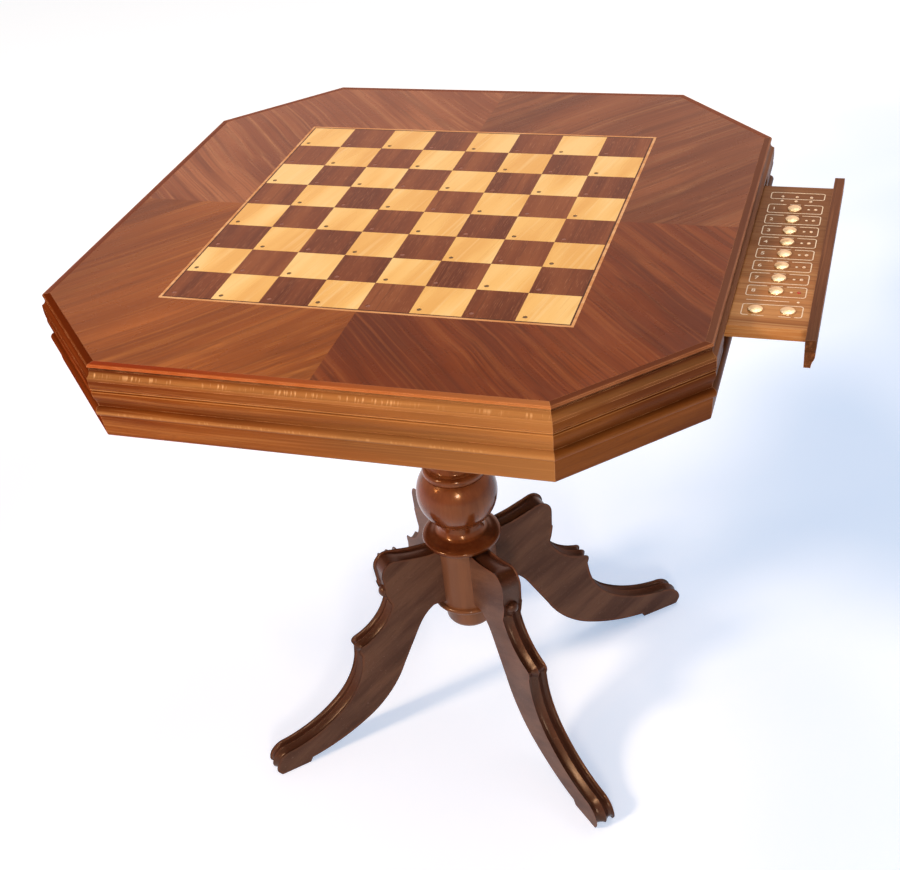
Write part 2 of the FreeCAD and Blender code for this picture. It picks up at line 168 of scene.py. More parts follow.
def arcPoints(a, b, bow, gap=0.03):
    # points of the arc from a to b whose middle stands bow to the left of the straight line
    run = dist(a, b)
    count = max(3, ceil(sqrt(abs(bow) / gap)))
    half = 2 * atan(2 * bow / run)
    radius = run / (2 * sin(half))
    points = []
    for i in range(1, count + 1):
        angle = half - 2 * half * i / count
        along = 0.5 - sin(angle) * radius / run
        left = (cos(angle) - cos(half)) * radius / run
        points.append((a[0] + along * (b[0] - a[0]) - left * (b[1] - a[1]),
            a[1] + along * (b[1] - a[1]) + left * (b[0] - a[0])))
    return points


def drawLine(start, steps):
    # steps are (a, b) for a straight run or (a, b, bow) for a round one
    points = [start]
    for step in steps:
        points += arcPoints(points[-1], step[:2], step[2]) if len(step) == 3 else [step]
    return points


def lathe(name, start, steps, sides, centre=(0.0, 0.0)):
    # a disc is drawn up ring by ring through (radius, height) points, in millimetres
    rings = drawLine(start, steps)
    piece = fresh(name, "circle", vertices=sides, radius=start[0] * mm, fill_type="NGON",
        location=spotAt(*centre, start[1]))
    editAll(piece)
    for low, high in zip(rings, rings[1:]):
        pushOut(0, 0, (high[1] - low[1]) * mm)
        grow = high[0] / low[0]
        bpy.ops.transform.resize(value=(grow, grow, 1), center_override=spotAt(*centre, high[1]))
    leaveEdit()
    settle()
    tidyMesh(piece)
    return piece


def wrapped(name, around, across, spotOf):
    # a grid bent round a closed ring: spotOf gives the place of each grid crossing, then both ends are closed
    piece = fresh(name, "grid", x_subdivisions=around, y_subdivisions=across, size=1)
    for vertex in piece.data.vertices:
        i = round((vertex.co.x + 0.5) * around)
        j = round((vertex.co.y + 0.5) * across)
        vertex.co = Vector(spotOf(i % around, j)) * mm
    editAll(piece)
    bpy.ops.mesh.remove_doubles(threshold=sameSpot)
    selectMesh()
    bpy.ops.mesh.fill_holes(sides=0)
    leaveEdit()
    tidyMesh(piece, 30)
    return piece


# colours and nodes


def colour(code):
    channels = [int(code[i:i + 2], 16) / 255 for i in (1, 3, 5)]
    return tuple(c / 12.92 if c <= 0.04045 else ((c + 0.055) / 1.055) ** 2.4 for c in channels) + (1.0,)


def add(owner, kind, settings=None, links=None):
    # a node in the owner's tree: settings are its own properties or its sockets' values, links go into its sockets
    tree = owner.id_data
    node = tree.nodes.new("ShaderNode" + kind)
    for key, value in (settings or {}).items():
        if isinstance(key, str) and hasattr(node, key):
            setattr(node, key, value)
        else:
            node.inputs[key].default_value = value
    for key, source in (links or {}).items():
        tree.links.new(source, node.inputs[key])
    return node


def newMaterial(name):
    # an empty material, with its shader and the place on the piece, which the patterns start from
    material = bpy.data.materials.new(name)
    material.use_nodes = True
    tree = material.node_tree
    tree.nodes.clear()
    shader = add(tree, "BsdfPrincipled")
    add(tree, "OutputMaterial", links={"Surface": shader.outputs[0]})
    return material, shader, add(tree, "TexCoord").outputs["Object"]


def finishShader(shader, values, links):
    for key, value in values.items():
        shader.inputs[key].default_value = value
    for key, source in links.items():
        shader.id_data.links.new(source, shader.inputs[key])


def relief(shader, source, strength, distance, invert=False):
    bump = add(source, "Bump", {"Strength": strength, "Distance": distance * mm, "invert": invert},
        {"Height": source})
    finishShader(shader, {}, {"Normal": bump.outputs[0]})


def calc(kind, operation, sources):
    # the first source is another node's output, and so may the others be, or they are fixed values
    fixed = {i: source for i, source in enumerate(sources) if not isinstance(source, bpy.types.NodeSocket)}
    joined = {i: source for i, source in enumerate(sources) if i not in fixed}
    return add(sources[0], kind, {"operation": operation, **fixed}, joined)


def mathOf(operation, *sources):
    return calc("Math", operation, sources).outputs[0]


def vectorOf(operation, *sources):
    return calc("VectorMath", operation, sources).outputs[0]


def dotOf(*sources):
    return calc("VectorMath", "DOT_PRODUCT", sources).outputs["Value"]


def scaled(source, factor):
    return add(source, "VectorMath", {"operation": "SCALE", "Scale": factor}, {0: source}).outputs[0]


def axisOf(source, axis):
    return add(source, "SeparateXYZ", links={0: source}).outputs[axis]


def noise(source, size, detail, output="Fac", **more):
    # patches about size millimetres across
    settings = {"Scale": 1 / (size * mm), "Detail": detail, **more}
    return add(source, "TexNoise", settings, {"Vector": source}).outputs[output]


def stretchedNoise(source, lengths, detail):
    # patches with their own length along each axis
    drawn = vectorOf("MULTIPLY", source, tuple(1 / (length * mm) for length in lengths))
    return noise(drawn, 1 / mm, detail)


def ramp(source, stops):
    node = add(source, "ValToRGB", links={"Fac": source})
    elements = node.color_ramp.elements
    while len(elements) < len(stops):
        elements.new(0.5)
    for element, (at, value) in zip(elements, stops):
        element.position = at
        element.color = value if isinstance(value, tuple) else (value, value, value, 1.0)
    return node.outputs["Color"]


def span(source, low, high, least=0.0, most=1.0):
    return add(source, "MapRange", {"From Min": low, "From Max": high, "To Min": least, "To Max": most},
        {"Value": source}).outputs[0]


def blend(tone, code, share):
    return add(tone, "Mix", {"data_type": "RGBA", 7: colour(code)}, {0: share, 6: tone}).outputs[2]


def between(share, first, second):
    return add(share, "Mix", {"data_type": "FLOAT"}, {0: share, 2: first, 3: second}).outputs[0]


def threeTones(source, look):
    return ramp(source, [(at, colour(code)) for at, code in zip((0.36, 0.5, 0.64), look["tones"])])


def twoTones(source, low, high, start=0.3, end=0.7):
    return ramp(source, [(start, colour(low)), (end, colour(high))])


def mottled(name, low, high, size, detail, end, bump, values, roughness=None):
    # two tones in small clouds, and a faint relief that follows them
    material, shader, spot = newMaterial(name)
    cloud = noise(spot, size, detail)
    links = {"Base Color": twoTones(cloud, low, high, end=end)}
    if roughness:
        links["Roughness"] = span(cloud, 0.0, 1.0, *roughness)
    finishShader(shader, values, links)
    relief(shader, cloud, *bump)
    return material


# Streaks of a straight-grained timber, as (length, width, from, to, depth, colour) in millimetres
def streaksOf(size, pale, deep):
    return [(760 * size, 16 * size, 0.53, 0.70, 0.55, pale), (520 * size, 4.2 * size, 0.55, 0.68, 0.42, pale),
        (640 * size, 9 * size, 0.53, 0.68, 0.5, deep), (330 * size, 2.2 * size, 0.54, 0.66, 0.42, deep),
        (110 * size, 0.9, 0.54, 0.70, 0.3, deep)]


# what a timber has where its own look says nothing, in millimetres
usualTimber = {
    "turn": (0, 0, 0), "shift": (0, 0, 0), "wander": 12, "wanderReaches": ((260, 1.0), (70, 0.16)), "streaks": (),
    "cloudLength": 420, "cloudWidth": 60, "poreLength": 8, "poreWidth": 0.5, "poreDepth": 0.4, "bands": (),
    "ticks": (), "tickSize": (2.0, 40, 14), "tickGroup": 46, "tickSoft": 1.0, "wearReach": 2.2, "wearDepth": 0.6,
    "wearPatch": 20, "scuffSize": 5, "scuffDepth": 0.4, "endToneAxis": "X", "smearSize": 60, "roughness": 0.35,
    "bump": 0.25, "reliefDepth": 0.1, "ior": 1.5, "sheen": "#FFD9B0", "specular": 0.5, "coat": 0.0,
    "coatRoughness": 0.1}


# Polished timber. The grain runs along the pattern's own x after it is turned.
def timber(name, look):
    look = dict(usualTimber, **look)
    material, shader, spot = newMaterial(name)
    height = axisOf(spot, "Z")
    # matched leaves are mirrored about the two centre lines of the top
    field = vectorOf("ABSOLUTE", spot) if look.get("matched") else spot
    turned = add(spot, "Mapping", {"vector_type": "POINT", "Location": look["shift"],
        "Rotation": tuple(radians(a) for a in look["turn"])}, {"Vector": field}).outputs[0]
    # slow wander of the grain, with a smaller one on top
    grain = turned
    for reach, share in look["wanderReaches"]:
        drift = vectorOf("SUBTRACT", noise(turned, reach, 1.0, "Color"), (0.5, 0.5, 0.5))
        grain = vectorOf("ADD", grain, scaled(drift, 2 * look["wander"] * share * mm))

    def grainNoise(length, width, detail=2.0):
        return stretchedNoise(grain, (length, width, width), detail)

    def stretch(low, high, soft, depth=1.0):
        # from one height to another, with soft ends
        return mathOf("MULTIPLY", span(height, (low - soft) * mm, (low + soft) * mm, 0.0, depth),
            span(height, (high - soft) * mm, (high + soft) * mm, 1.0, 0.0))

    tone = threeTones(grainNoise(look["cloudLength"], look["cloudWidth"]), look)
    for length, width, start, end, depth, code in look["streaks"]:
        tone = blend(tone, code, span(grainNoise(length, width), start, end, 0.0, depth))
    pore = span(grainNoise(look["poreLength"], look["poreWidth"], 1.0), 0.6, 0.72)
    tone = blend(tone, look["tones"][0], mathOf("MULTIPLY", pore, look["poreDepth"]))
    for low, high, soft, code, depth in look["bands"]:
        # a stretch of the moulding's height with its own tone
        tone = blend(tone, code, stretch(low, high, soft, depth))
    for low, high, code, depth in look["ticks"]:
        # cutter marks across a bead, in groups, painted as short bright ticks: painted highlights where the marks
        # catch the light
        tick = span(stretchedNoise(turned, look["tickSize"], 0.0), 0.58, 0.68, 0.0, depth)
        group = span(noise(turned, look["tickGroup"], 1.0), 0.38, 0.52)
        share = mathOf("MULTIPLY", mathOf("MULTIPLY", tick, group), stretch(low, high, look["tickSoft"]))
        tone = blend(tone, code, share)
    if "edge" in look:
        # the carved edge of a board, away from its two sawn sides, has a darker and finer polish
        edge = look["edge"]
        facing = dotOf(add(spot, "TexCoord").outputs["Normal"], edge["side"])
        carved = span(mathOf("ABSOLUTE", facing), 0.95, 0.8)
        tone = blend(tone, edge["tone"], mathOf("MULTIPLY", carved, edge["depth"]))
    if "wear" in look:
        # arrises rubbed by hands and cloths, their paler tone partly a painted highlight where the edges catch the
        # light
        rounded = add(spot, "Bevel", {"samples": 4, "Radius": look["wearReach"] * mm}).outputs[0]
        turnedAway = dotOf(rounded, add(spot, "NewGeometry").outputs["Normal"])
        patch = span(noise(turned, look["wearPatch"], 3.0), 0.36, 0.6, 0.15)
        rubbed = mathOf("MULTIPLY", span(turnedAway, 0.99, 0.9, 0.0, look["wearDepth"]), patch)
        tone = blend(tone, look["wear"], rubbed)
    if "scuff" in look:
        # fine pale scratches lying in all directions
        scratch = noise(spot, look["scuffSize"], 5.0, Roughness=0.75, Distortion=2.0)
        tone = blend(tone, look["scuff"], span(scratch, 0.6, 0.72, 0.0, look["scuffDepth"]))
    if "endTone" in look:
        # another tone towards one end, from start to end along one axis
        start, end, code, depth = look["endTone"]
        along = axisOf(spot, look["endToneAxis"])
        tone = blend(tone, code, span(along, start * mm, end * mm, 0.0, depth))
    smear = noise(spot, look["smearSize"], 4.0, Roughness=0.6)

    def polish(roughness, less, more):
        return span(smear, 0.0, 1.0, roughness - less, roughness + more)

    gloss = polish(look["roughness"], 0.06, 0.08)
    if "glossAbove" in look:
        # a thicker polish above one level
        level, finer = look["glossAbove"]
        share = span(height, (level - 2) * mm, (level + 2) * mm)
        gloss = between(share, gloss, polish(finer, 0.04, 0.05))
    links = {"Base Color": tone}
    if "edge" in look:
        gloss = between(carved, gloss, polish(edge["roughness"], 0.04, 0.06))
        links["Specular IOR Level"] = span(carved, 0.0, 1.0, look["specular"], edge["specular"])
    links["Roughness"] = gloss
    finishShader(shader, {
        "IOR": look["ior"], "Specular Tint": colour(look["sheen"]), "Specular IOR Level": look["specular"],
        "Coat Weight": look["coat"], "Coat Roughness": look["coatRoughness"]}, links)
    relief(shader, pore, look["bump"], look["reliefDepth"], True)
    return material


# playing surface: figured walnut leaves, quarter matched, under a rubbed polish
# the leaves' own tones are partly painted sheen: the golden front left leaf and the darker front right one paint how
# each leaf's grain takes the light
leaves = {
    "front_left": {"tones": ("#844210", "#954D16", "#A85C22"), "pale": "#B87030", "deep": "#6E350E",
        "shift": (0.13, 0.02, 0), "endTone": (-200, -330, "#54260C", 0.5)},
    "front_right": {"tones": ("#61260A", "#72300E", "#843E16"), "pale": "#985428", "deep": "#4C1C08",
        "shift": (0.55, 0.31, 0)},
    "back_right": {"tones": ("#6A3418", "#7A4020", "#8C4F2C"), "pale": "#A06A42", "deep": "#562A14",
        "shift": (0.97, 0.66, 0)},
    "back_left": {"tones": ("#7A3E22", "#8C4C2A", "#A4623C"), "pale": "#BA7E52", "deep": "#65321A",
        "shift": (1.31, 0.93, 0)}}
for corner, look in leaves.items():
    look.update({"matched": True, "turn": (0, 0, -47), "streaks": streaksOf(1.0, look["pale"], look["deep"]),
        "roughness": 0.27, "sheen": "#FFE6D2", "poreDepth": 0.3})
    dressNodes(timber("walnutVeneer_" + corner, look), "veneer_" + corner)
print("border veneer dressed")

boardLook = {"square": 50.8, "rows": 8, "thickness": 0.8, "lampInset": 7.6, "lampRadius": 2.4, "lampSides": 20}
jointLook = {"tone": "#4A2614", "depth": 0.5, "start": 0.4935, "end": 0.4975}


def squareTimber(name, look):
    # each square is its own cut of veneer: the cell number shifts the grain and the tone
    material, shader, spot = newMaterial(name)
    cell = scaled(spot, 1 / (boardLook["square"] * mm))
    flat = vectorOf("MULTIPLY", vectorOf("FLOOR", cell), (1, 1, 0))
    dice = add(spot, "TexWhiteNoise", {"noise_dimensions": "3D"}, {"Vector": flat})
    moved = vectorOf("ADD", spot, scaled(dice.outputs["Color"], 0.7))
    turned = add(spot, "Mapping", {"Rotation": (0, 0, radians(look["turn"]))}, {"Vector": moved}).outputs[0]

    def grainNoise(length, width):
        return stretchedNoise(turned, (width, length, 1 / mm), 2.0)

    broad = grainNoise(look["broadLength"], look["broadWidth"])
    lift = span(dice.outputs["Value"], 0.0, 1.0, -look["perSquare"], look["perSquare"])
    tone = threeTones(mathOf("ADD", broad, lift), look)
    for length, width, start, end, depth, code in look["streaks"]:
        tone = blend(tone, code, span(grainNoise(length, width), start, end, 0.0, depth))
    # hairline joint round each square
    inside = vectorOf("SUBTRACT", vectorOf("FRACTION", cell), (0.5, 0.5, 0.5))
    fromMiddle = vectorOf("ABSOLUTE", inside)
    reach = mathOf("MAXIMUM", axisOf(fromMiddle, "X"), axisOf(fromMiddle, "Y"))
    joint = span(reach, jointLook["start"], jointLook["end"], 0.0, jointLook["depth"])
    finishShader(shader, {"IOR": 1.5, "Specular Tint": colour("#FFE6D2")}, {
        "Base Color": blend(tone, jointLook["tone"], joint),
        "Roughness": span(broad, 0.0, 1.0, look["roughness"] - 0.05, look["roughness"] + 0.07)})
    relief(shader, broad, 0.15, 0.08)
    return material


# mahogany veneer, straight grained with pale pores; sycamore veneer, pale with a soft slanting figure
mahoganySquares = squareTimber("mahoganyVeneer", {
    "turn": 1, "broadLength": 300, "broadWidth": 26, "perSquare": 0.05, "roughness": 0.28,
    "tones": ("#622C14", "#763A1C", "#8A4C28"),
    "streaks": [(220, 3.2, 0.55, 0.68, 0.5, "#55240F"), (120, 1.3, 0.55, 0.68, 0.45, "#8E5230"),
        (14, 0.8, 0.60, 0.70, 0.5, "#B27652")]})
sycamoreSquares = squareTimber("sycamoreVeneer", {
    "turn": 12, "broadLength": 220, "broadWidth": 34, "perSquare": 0.06, "roughness": 0.27,
    "tones": ("#EDB666", "#F7C676", "#FCD48C"),
    "streaks": [(160, 6, 0.56, 0.70, 0.35, "#FFDFA2"), (90, 1.8, 0.57, 0.70, 0.22, "#DDA45C"),
        (8, 0.7, 0.64, 0.74, 0.2, "#C88A48")]})


def boardTile():
    # a square of veneer with its lamp hole: its outer edge is bridged to the hole's edge, then given thickness
    side = boardLook["square"] * mm
    inset = boardLook["lampInset"] * mm
    hole = fresh("hole", "circle", vertices=boardLook["lampSides"],
        radius=boardLook["lampRadius"] * mm, location=(inset, inset, 0))
    tile = fresh("tile", "plane", size=side, location=(side / 2, side / 2, 0))
    editAll(tile)
    bpy.ops.mesh.delete(type="ONLY_FACE")
    leaveEdit()
    joinTo(tile, [hole])
    settle()
    editAll(tile)
    bpy.ops.mesh.bridge_edge_loops()
    selectMesh()
    pushOut(0, 0, -boardLook["thickness"] * mm)
    leaveEdit()
    tidyMesh(tile)
    return tile


def copiesOf(model, spots, name):
    # each copy has its own mesh, and they end as one piece
    copies = []
    for spot in spots:
        twin = model.copy()
        twin.data = model.data.copy()
        bpy.context.scene.collection.objects.link(twin)
        twin.data.transform(Matrix.Translation(spotAt(*spot)))
        copies.append(twin)
    joinTo(copies[0], copies[1:])
    rename(copies[0], name)
    bpy.data.objects.remove(model)
    return copies[0]


def corners(shade, inset=0.0):
    # the near left corner of each square of one colour, or a spot further in
    start = inset - boardLook["square"] * boardLook["rows"] / 2
    rows = range(boardLook["rows"])
    return [(i * boardLook["square"] + start, j * boardLook["square"] + start, 0)
        for i in rows for j in rows if (i + j) % 2 == shade]


for shade, name, material in ((0, "dark", mahoganySquares), (1, "light", sycamoreSquares)):
    squares = copiesOf(boardTile(), corners(shade), "inlay_" + name + "_squares")
    place(squares, material, "table", name + "_inlay", name + "_squares")
print("board squares laid")

lampLook = {"radius": 2.3, "lip": 0.35, "foot": -0.8, "rim": -0.22, "crest": -0.06, "swell": 0.12, "sides": 14}
lampTones = ((1, "paleSquareLamps", "#5E4426", "#7A5C36"), (0, "darkSquareLamps", "#84503F", "#9E6A58"))


# Lamp lens, unlit: moulded and glossy, a little light in its depth
def lensPlastic(name, code, glow):
    return mottled(name, code, glow, 1.6, 2.0, 0.75, (0.08, 0.05), {"Roughness": 0.3, "IOR": 1.58})


for shade, name, code, glow in lampTones:
    # the lenses let the timber round them show through, so they differ on the two kinds of square
    radius, lip, rim = lampLook["radius"], lampLook["lip"], lampLook["rim"]
    lens = lathe("lens", (radius, lampLook["foot"]), [
        (radius, rim), (radius - lip, rim), (lip, lampLook["crest"], lampLook["swell"])], lampLook["sides"])
    boardLamps = copiesOf(lens, corners(shade, boardLook["lampInset"]), name)
    place(boardLamps, lensPlastic("lampLens_" + name, code, glow), "table", "lamp_lens", "square_lamps")

# stringing round the board: a dark thread and a pale one
dressNodes(timber("ebonisedThread", {
    "tones": ("#32170D", "#46200F", "#5A2C18"), "cloudWidth": 8, "cloudLength": 60}), "dark_line")
dressNodes(timber("boxwoodThread", {
    "tones": ("#D08C52", "#DC9E66", "#E8B27C"), "cloudWidth": 8, "cloudLength": 60, "poreDepth": 0.15}), "light_line")
print("stringing dressed")

# lipping and apron boards, walnut mouldings with the grain along each board
topLook = {"straightReach": 325.0, "cornerReach": 381.13, "widest": 14, "spare": 6, "smooth": 32, "streakShare": 0.5}
sides = ["right", "back_right", "back", "back_left", "left", "front_left", "front", "front_right"]
# sections as (out from the veneer's edge, height), with a bow on the round runs
lippingSection = drawLine((0, 0), [
    (0, -15.5), (11, -15.5), (10.9, -12.4), (7.0, -5.3, 1.5), (6.3, -4.7), (6.3, -3.4), (7.9, -2.6), (8.0, -1.3),
    (7.3, -0.3, 0.3), (5.6, 0.0, 0.1)])
frontRun = [(11, -22.6), (10.1, -24.1, 0.25), (10.8, -24.7), (10.7, -25.5, 0.12), (9.0, -26.1), (9.0, -26.9),
    (10.3, -27.8, 0.2), (9.6, -36.0, 0.6), (7.2, -43.6, -0.5)]
apronSection = drawLine((-10, -15.5), [(11, -15.5)] + frontRun + [
    (7.2, -44.6), (9.7, -54.2, 3.25), (8.6, -54.8), (7.1, -76.4), (3.6, -79.9, 1.0), (-10, -80)])
frontSection = drawLine((1, -16.1), [(11, -16.1)] + frontRun + [(7.1, -44.4), (1, -44.4)])


def mitre(side, out):
    # half the length of one side of the octagon, so far out from the veneer's edge
    reaches = (topLook["straightReach"], topLook["cornerReach"])
    slope = cos(pi / 4)
    return (reaches[1 - side % 2] + out - (reaches[side % 2] + out) * slope) / slope


def mouldedStrip(name, side, section, ends=None):
    # the section is a closed face, pushed along the board, then its ends are cut to the mitre
    piece = fresh(name, "circle", vertices=len(section), radius=1, fill_type="NGON")
    angle = side * pi / 4
    outward, along = waysAt(angle)
    reach = topLook["cornerReach" if side % 2 else "straightReach"]
    spare = mitre(side, topLook["widest"]) + topLook["spare"]
    low, high = ends or (-spare, spare)
    for vertex, (out, level) in zip(piece.data.vertices, section):
        vertex.co = (outward * (reach + out) + along * low + Vector((0, 0, level))) * mm
    editAll(piece)
    pushOut(*(along * (high - low) * mm))
    if not ends:
        # both mitres meet the neighbours half way round the corner
        for end in (-1, 1):
            spot = (outward * reach + along * end * mitre(side, 0)) * mm
            plane = waysAt(angle + end * pi / 8)[1] * end
            selectMesh()
            bpy.ops.mesh.bisect(plane_co=spot, plane_no=plane, use_fill=True, clear_outer=True)
    leaveEdit()
    tidyMesh(piece, topLook["smooth"])
    return piece


# painted light and shade: each board has its own copy of the tones as the light falls on it, the front board lightest
# and the boards seen at a slant darker, and the front board's end tone paints it paler and golden towards its right
# end as a painted sheen
# glow is a painted highlight tone, and the lipping's rim and arris tones also differ by side as painted light
boards = {
    "right": {"tones": ("#3E2012", "#5E3620", "#7A4C2C"), "rim": "#5E2E1C", "arris": "#84523A"},
    "back_right": {"tones": ("#4A260F", "#6C3C1C", "#84502A")},
    "back": {"tones": ("#4E2810", "#703E1E", "#885429")},
    "back_left": {"tones": ("#4A220E", "#6E3A1A", "#885028")},
    "left": {"tones": ("#4A220E", "#6E3A1A", "#885028"), "rim": "#6E2E12", "arris": "#8A4A28"},
    "front_left": {"tones": ("#4C1C06", "#69280B", "#7E3A16"), "glow": "#8A4420", "pale": "#8A4420",
        "rim": "#5E240C", "arris": "#6E3010", "specular": 0.0},
    "front": {"tones": ("#582406", "#72340A", "#8A4A1A"), "glow": "#D89A5C", "pale": "#C88A50",
        "rim": "#8E3210", "arris": "#B85A28", "specular": 0.16, "torusHighlightDepth": 0.4,
        "ticks": [(-11.6, -9.0, "#F6C48C", 0.6), (-51.5, -49.0, "#E8B47C", 0.3)],
        "endTone": (-130, 240, "#C08850", 0.5)},
    "front_right": {"tones": ("#481E08", "#64300C", "#7C4418"), "glow": "#BC8250", "pale": "#93562E",
        "rim": "#5C2810", "arris": "#8E5230", "specular": 0.18}}
# shared by all boards: the wear tone is partly a painted highlight on the arrises, arris a painted highlight on the
# lipping's rounded edge, and torusHighlightDepth the strength of the painted highlight on the torus
mouldingCommon = {
    "cloudWidth": 44, "cloudLength": 240, "wander": 4, "roughness": 0.48, "specular": 0.4, "sheen": "#FFB468",
    "poreLength": 7, "wear": "#E2A070", "wearReach": 0.7, "bump": 0.45, "torusHighlightDepth": 0.05, "rim": "#7A3616",
    "arris": "#9C5630"}
# what is taken out of the right-hand apron: the room for the drawer's front, and behind it the drawer's slot
drawerRoom = ((325.5, 360, -175, 155, -45, -10), (312, 326, -154.4, 134.4, -30.9, -10))
for number, side in enumerate(sides):
    look = dict(mouldingCommon, **boards[side])
    look["turn"] = (0, 0, -(45 * number + 90))
    look["shift"] = (0.37 * number, 0.21 * number, 0.11 * number)
    dark, glow = look["tones"][0], look.get("glow", look["tones"][2])
    # fainter than on a flat board
    look["streaks"] = [streak[:4] + (streak[4] * topLook["streakShare"], streak[5])
        for streak in streaksOf(0.36, look.get("pale", look["tones"][2]), dark)]
    # painted shade under the arrises, in the quirks, in the hollow of the frieze and along the bottom edge; painted
    # highlights on the bead, on the two fillet arrises and on the torus
    look["bands"] = [
        (-8.4, -3.0, 1.4, dark, 0.5), (-14.0, -9.0, 2.2, glow, 0.35), (-26.9, -26.1, 0.4, "#2E1408", 0.55),
        (-25.4, -24.7, 0.3, glow, 0.5), (-28.4, -27.8, 0.3, glow, 0.5), (-47.0, -40.0, 3.0, dark, 0.55),
        (-52.6, -48.6, 1.5, glow, look["torusHighlightDepth"]), (-81.0, -77.0, 1.2, dark, 0.5)]
    boardTimber = timber("walnutMoulding_" + side, look)
    apron = mouldedStrip("apronBoard_" + side, number, apronSection)
    if side == "right":
        for room in drawerRoom:
            cut(apron, block(*room))
        smoothBy(topLook["smooth"])
    place(apron, boardTimber, "table", "moulding_walnut", "apron_" + side)
    # the lipping is worked from the same board, and the orange polish of the top runs over its upper edge
    # painted shade in the undercut below the rounded edge, and a painted highlight on that edge in the arris tone
    look["bands"] = look["bands"][:2] + [
        (-5.0, -3.1, 0.5, "#2A1208", 0.75), (-2.9, -0.12, 0.1, look["arris"], 0.85),
        (-0.12, 1.0, 0.1, look["rim"], 0.85)]
    lipping = mouldedStrip("edgeLipping_" + side, number, lippingSection)
    place(lipping, timber("polishedLipping_" + side, look), "table", "edge_walnut", "lipping_" + side)
print("mouldings cut")

# pedestal: one long turning, stained and polished
pedestal = {"sides": 96, "height": 688.0, "footRadius": 18.3, "footLevel": 116.0}
floorLevel = -pedestal["height"]
# each step is a radius, a height above the floor and, on a round run, its bow
turning = [
    (26.8, 120.2, -0.6), (30.5, 127.0, -0.7), (30.5, 152.6), (40.6, 153.6), (43.9, 155.6, -0.55), (43.9, 158.6, -0.4),
    (41.4, 160.6, -0.4), (40.0, 161.4), (40.0, 249.4), (44.4, 250.3), (47.4, 251.6, -0.3), (48.8, 254.6, -0.5),
    (47.4, 257.6, -0.5), (45.4, 258.4), (43.4, 259.2), (34.5, 261.0, 0.5), (27.6, 266.0, 1.1), (25.2, 272.0, 0.5),
    (25.0, 277.5), (49.5, 320.2, -6.55), (38.6, 351.2, -2.83), (37.4, 351.5), (37.4, 352.2), (38.7, 352.7),
    (39.0, 353.6, -0.1), (38.6, 354.4), (33.8, 361.6, -2.2), (33.9, 362.6), (33.0, 363.4), (31.0, 366.0, 0.4),
    (24.0, 402.0, 2.0), (36.4, 446.0, -1.0), (38.0, 470.0, -0.8), (36.0, 504.0, -1.2), (27.0, 560.0, 2.0),
    (27.0, 580.5), (36.0, 593.1, 1.6), (60.0, 598.5, 0.8), (60.0, 616.5), (18.0, 616.5), (18.0, 640.5)]
column = lathe("turnedColumn", (pedestal["footRadius"], pedestal["footLevel"] + floorLevel),
    [(step[0], step[1] + floorLevel) + step[2:] for step in turning], pedestal["sides"])
place(column, timber("stainedColumn", {
    "tones": ("#5A2A12", "#6E381A", "#824826"), "turn": (0, 90, 0), "cloudWidth": 24, "cloudLength": 160,
    "streaks": [(300, 7, 0.52, 0.68, 0.2, "#955A36"), (220, 3.4, 0.53, 0.66, 0.22, "#4A2010"),
        (90, 1.4, 0.55, 0.66, 0.2, "#4A2010")],
    # the first band is a greyer tone below the flange; the other two are painted shade: the turning darker from the
    # flange up to the collar, under the table top, and darker still on the flange
    "bands": [(-700, -440, 2, "#6C4834", 0.6), (-440, -325, 2, "#5C2A14", 0.4), (-440, -426, 0.5, "#3A1608", 0.5)],
    "wander": 3, "roughness": 0.42, "glossAbove": (-440, 0.2), "sheen": "#FFBE80", "coat": 0.22,
    "coatRoughness": 0.07, "poreDepth": 0.25, "poreLength": 6, "bump": 0.12, "wear": "#A8663C", "wearReach": 0.7,
    "wearDepth": 0.5}),
    "table", "column_walnut", "column")
print("pedestal turned")

# legs: sawn from boards on edge, carved along the outer edge
legLook = {
    "thickness": 25.0, "outerArris": 3.3, "innerArris": 1.9, "ringBehindArris": 0.8, "spacing": 1.7,
    "grooveDepth": 5.0, "grooveHalf": 7.2, "grooveCurve": 1.3, "hollowDepth": 1.8, "hollowHalf": 8.8,
    "hollowCurve": 0.8, "runOut": 14, "atSole": 0.35, "faceStart": 60, "faceRise": 20, "faceUp": 0.1, "faceOut": 0.6,
    "arrisRoom": 0.75, "ringRoom": 0.95, "grooveRoom": 0.8, "mostRoom": 99.0, "easing": 0.25, "easeTurns": 10}
legTurns = {"back_right": 42.5, "back_left": 135.0, "front_left": 225.0, "front_right": 316.6}
# reach, height, bow and carving: plain, a V between two ribs, or a wide round hollow
plain, groove, hollow = 0, 1, 2
legOutline = [
    (37.9, 246.5, 0, hollow), (48.5, 246.5, 0, hollow), (96, 257, -1.5, hollow), (108, 260.4, 0.7, plain),
    (120, 245, 3.4, plain), (119, 221, 0, plain), (116, 206, 0, plain), (113, 197, 0, groove),
    (165, 147.5, -9.5, groove), (167, 145.5, 0, groove), (164, 137, 0, groove), (166, 121, 0, groove),
    (204, 58, -7.5, groove), (280, 29, -5.2, groove), (302, 10, 5.8, groove), (296, 0, 0, groove),
    (258, 0, 0, plain), (252, 10, 0, plain), (161, 39, 4.8, plain), (109, 98, 6, plain), (83, 146, 0, plain),
    (55, 173, -3.2, plain), (37.9, 171, 0, plain)]
outerEdge = range(2, 16)
# the legs were sawn by eye: how much each outer edge differs, as (height, move)
legTrim = {"front_left": [(8, -8), (40, -5), (60, -4), (121, -8), (200, -7), (245, -5)],
    "front_right": [(8, -6), (40, -3), (60, -2), (121, -5), (200, -6), (245, -5)],
    "back_right": [(8, 5), (60, 3), (121, 0), (200, -3), (245, -3)],
    "back_left": [(8, -14), (60, -8), (121, -13), (150, -14), (200, -9), (245, -7)]}


